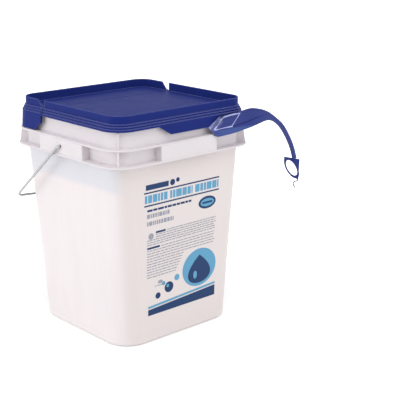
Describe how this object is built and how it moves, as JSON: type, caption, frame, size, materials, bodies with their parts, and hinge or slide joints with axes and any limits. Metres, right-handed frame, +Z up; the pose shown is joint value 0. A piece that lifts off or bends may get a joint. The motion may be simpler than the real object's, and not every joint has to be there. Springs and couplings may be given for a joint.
{
  "type": "laundry detergent pail",
  "caption": "Square tapered plastic pail of laundry powder with a hinged snap lid, a half-torn tear strip and a wire bail with a grip.",
  "frame": {"origin": "centre of the pail's underside, on the surface it stands on", "axes": "+Z up, -Y out of the label face, +X and -X out of the bail ears, the lid's hinge line towards +Y"},
  "size_m": [0.3342, 0.2779, 0.3312],
  "materials": {
    "pail_plastic": "warm white polypropylene, slightly translucent, satin",
    "lid_plastic": "deep blue polypropylene, satin",
    "bail_steel": "drawn wire with a dull zinc coat",
    "grip_plastic": "white polyethylene",
    "powder": "fine white granules with pale blue specks"
  },
  "bodies": {
    "pail": {"pail_body": "pail_plastic", "lid_rear": "lid_plastic", "detergent_powder": "powder"},
    "lid": {"lid_flap": "lid_plastic", "tear_strip": "lid_plastic"},
    "bail": {"bail_wire": "bail_steel"},
    "grip": {"bail_grip": "grip_plastic"}
  },
  "joints": [
    {"name": "lid_hinge", "type": "hinge", "parent": "pail", "child": "lid", "pos_m": [0, 0.052, 0.3193], "axis": [-1, 0, 0], "range_deg": [0, 60]},
    {"name": "bail_swing", "type": "hinge", "parent": "pail", "child": "bail", "pos_m": [0, 0, 0.2766], "axis": [1, 0, 0], "range_deg": [0, 200]},
    {"name": "grip_spin", "type": "hinge", "parent": "bail", "child": "grip", "pos_m": [0, 0.12217, 0.17589], "axis": [1, 0, 0], "continuous": true}
  ]
}
